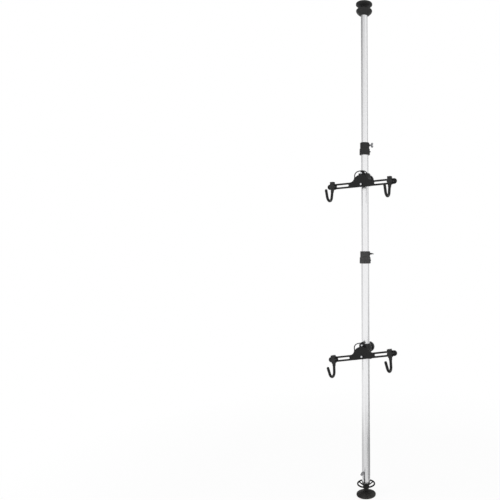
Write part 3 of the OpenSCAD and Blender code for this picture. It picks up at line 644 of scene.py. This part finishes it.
def makeWingScrew(nodeName, screw, wings):
    hub = wings["hub"]
    foot, stop = screw["face"], screw["end"] - wings["wing"]["radius"] - hub["edge"]
    shape = turnedSolid([
        (0, foot), (hub["footRadius"] - hub["edge"], foot), (hub["footRadius"], foot + hub["edge"]),
        (hub["endRadius"], stop - hub["edge"]), (hub["endRadius"] - hub["edge"], stop), (0, stop),
    ], hub["sides"])
    shaft = threadedRod(screw["tip"], foot + wings["shaftInHub"], wings["thread"])
    shape = combined(shape, shaft, "UNION")
    turnShape(shape, 90, "Y")
    for side in (-1, 1):
        shape = combined(shape, makeWing(wings["wing"], screw["end"], side), "UNION")
    place = Matrix.Translation((0, 0, screw["height"]))
    place = place @ rotation(screw["around"], "Z") @ rotation(screw["turn"], "X")
    bmesh.ops.transform(shape, matrix=place, verts=shape.verts)
    addPiece(nodeName + "_winged", shape, screw["body"], nodeName)


for nodeName, screw in wingSettings["screws"].items():
    makeWingScrew(nodeName, screw, wingSettings)
print("wing screws made")


# Copies of CAD nodes with their flat faces made whole and their sharp edges rounded a little
crispSettings = {
    "flatAngle": 0.5, "edgeAngle": 40, "segments": 2, "creaseAngle": 50,
    # Width of the rounding by the end of the node's name; the longest match holds
    "edges": {
        "arm": 0.0004, "clamp": 0.0006, "block": 0.0005, "clamp_knob": 0.0005, "knob": 0.0005,
        "pivot_nut": 0.0002, "collar": 0.0005, "handwheel": 0.0005, "lock_lever": 0.0004,
    },
}


def edgeWidthOf(nodeName, edges):
    matches = [key for key in edges if nodeName.endswith(key)]
    return edges[max(matches, key=len)] if matches else None


def makeCrispCopy(nodeName, body, crisp):
    shape = bmesh.new()
    shape.from_mesh(nodes[nodeName].data)
    bmesh.ops.remove_doubles(shape, verts=shape.verts, dist=mergeDistance)
    bmesh.ops.dissolve_limit(
        shape, angle_limit=math.radians(crisp["flatAngle"]), verts=shape.verts, edges=shape.edges,
        delimit={"NORMAL"})
    limit = math.radians(crisp["edgeAngle"])
    sharp = [edge for edge in shape.edges if len(edge.link_faces) == 2 and edge.calc_face_angle(0) > limit]
    bmesh.ops.bevel(
        shape, geom=sharp, offset=edgeWidthOf(nodeName, crisp["edges"]), affect="EDGES",
        segments=crisp["segments"], profile=0.5, material=-1, clamp_overlap=True)
    piece = addPiece(nodeName + "_crisp", shape, body, nodeName, crisp["creaseAngle"])
    flats = piece.modifiers.new("flatShading", "WEIGHTED_NORMAL")
    flats.keep_sharp = True


for body, members in frame["record"]["behaviour"]["bodies"].items():
    for nodeName in members:
        if edgeWidthOf(nodeName, crispSettings["edges"]):
            makeCrispCopy(nodeName, body, crispSettings)
print("crisp copies made")


# Studio: white surround, pale floor, three large soft lamps, and grey cards that only reflections see
studioSettings = {
    "fillLevel": 0.6,
    "floor": {"size": 16, "colour": grey(0.92), "roughness": 0.9, "glow": 0.88, "clearEdge": (1.6, 1.2)},
    "lamps": {
        "keyLamp": {"place": (-2.2, -3.4, 3.2), "aim": (0, 0, 1.3), "size": 3.5, "power": 65},
        "sideLamp": {"place": (3.6, -1.6, 2.2), "aim": (0, 0, 1.3), "size": 3.0, "power": 35},
        "rimLamp": {"place": (0.6, 3.4, 3.0), "aim": (0, 0, 1.3), "size": 3.0, "power": 40},
    },
    # A card's bearing is measured round the pole from the camera; its levels are its greys below and above
    "standingCards": {
        "leftCard": {
            "bearing": -100, "distance": 1.3, "width": 1.3, "low": -0.5, "high": 4.4, "levels": (1.0, 0.03)},
        "leftTopCard": {
            "bearing": -60, "distance": 1.5, "width": 1.3, "low": 2.0, "high": 4.6, "levels": (1.0, 0.0)},
        "rightCard": {
            "bearing": 108, "distance": 1.1, "width": 1.4, "low": -0.2, "high": 1.0, "levels": (0.22, 0.66)},
        "rightTopCard": {
            "bearing": 115, "distance": 1.1, "width": 1.3, "low": 1.0, "high": 4.4, "levels": (0.68, 0.5)},
        "frontTopCard": {
            "bearing": 5, "distance": 3.0, "width": 4.6, "low": 2.4, "high": 6.0, "levels": (1.0, 0.45)},
    },
    "lyingHeight": 0.003,
    "lyingCards": {
        "leftFloorCard": {"bearing": -105, "near": 0.2, "far": 1.25, "width": 1.3, "level": 0.6},
        "rightFloorCard": {"bearing": 98, "near": 0.15, "far": 1.05, "width": 1.6, "level": 0.33},
        "frontFloorCard": {"bearing": 0, "near": 0.15, "far": 1.6, "width": 1.1, "level": 0.74},
    },
}


def makeSurround(fillLevel):
    world = bpy.data.worlds.new("whiteSurround")
    bpy.context.scene.world = world
    world.use_nodes = True
    surround = NodeTree(world.node_tree)
    lighting = surround.add("ShaderNodeBackground", {}, {"Color": grey(1), "Strength": fillLevel})
    seen = surround.add("ShaderNodeBackground", {}, {"Color": grey(1), "Strength": 1})
    surround.show(surround.whiteToCamera(lighting, seen), "World Output")


def makeSheet(width, length):
    shape = bmesh.new()
    bmesh.ops.create_grid(shape, x_segments=1, y_segments=1, size=0.5)
    bmesh.ops.scale(shape, vec=(width, length, 1), verts=shape.verts)
    return shape


def makeFloor(ground):
    # Lit and shaded by the lamps near the rack, and clearing to white further out
    floor = linkObject("studioFloor", makeSheet(ground["size"], ground["size"]))
    shader = Shader("paleFloor", Roughness=ground["roughness"], Base_Color=ground["colour"])
    radius = shader.add("ShaderNodeVectorMath", {"operation": "LENGTH"}, {0: shader.place()}, "Value")
    share = ground["glow"] + radius.above(*ground["clearEdge"]) * (1 - ground["glow"])
    lit = Value(shader, shader.surface.outputs[0])
    glow = shader.add("ShaderNodeEmission", {}, {"Color": grey(1), "Strength": 1})
    seen = shader.add("ShaderNodeMixShader", {}, {0: share, 1: lit, 2: glow})
    shader.show(shader.whiteToCamera(lit, seen), "Material Output")
    floor.data.materials.append(shader.material)


def makeLamp(name, lamp):
    data = bpy.data.lights.new(name, "AREA")
    data.size = lamp["size"]
    data.energy = lamp["power"]
    light = bpy.data.objects.new(name, data)
    light.location = lamp["place"]
    light.visible_glossy = False
    aim = Vector(lamp["aim"]) - Vector(lamp["place"])
    light.rotation_euler = aim.to_track_quat("-Z", "Y").to_euler()
    bpy.context.scene.collection.objects.link(light)


def addCard(name, shape, bearing, shader, colour):
    turnShape(shape, cameraSettings["azimuth"] + bearing, "Z")
    card = linkObject(name, shape)
    shader.show(shader.add("ShaderNodeEmission", {}, {"Color": colour}), "Material Output")
    card.data.materials.append(shader.material)
    for ray in ("camera", "diffuse", "transmission", "volume_scatter", "shadow"):
        setattr(card, "visible_" + ray, False)


def makeStandingCard(name, card):
    height = card["high"] - card["low"]
    shape = makeSheet(card["width"], height)
    turnShape(shape, 90, "X")
    bmesh.ops.translate(shape, verts=shape.verts, vec=(0, -card["distance"], card["low"] + height / 2))
    shader = Shader(name + "Grey")
    rise = (shader.coordinate("Z") - card["low"]) / height
    lowLevel, highLevel = card["levels"]
    addCard(name, shape, card["bearing"], shader, shader.mix(rise, grey(lowLevel), grey(highLevel)))


def makeLyingCard(name, card, height):
    length = card["far"] - card["near"]
    shape = makeSheet(card["width"], length)
    bmesh.ops.translate(shape, verts=shape.verts, vec=(0, -card["near"] - length / 2, height))
    addCard(name, shape, card["bearing"], Shader(name + "Grey"), grey(card["level"]))


makeSurround(studioSettings["fillLevel"])
makeFloor(studioSettings["floor"])
for name, lamp in studioSettings["lamps"].items():
    makeLamp(name, lamp)
for name, card in studioSettings["standingCards"].items():
    makeStandingCard(name, card)
for name, card in studioSettings["lyingCards"].items():
    makeLyingCard(name, card, studioSettings["lyingHeight"])
print("studio set")
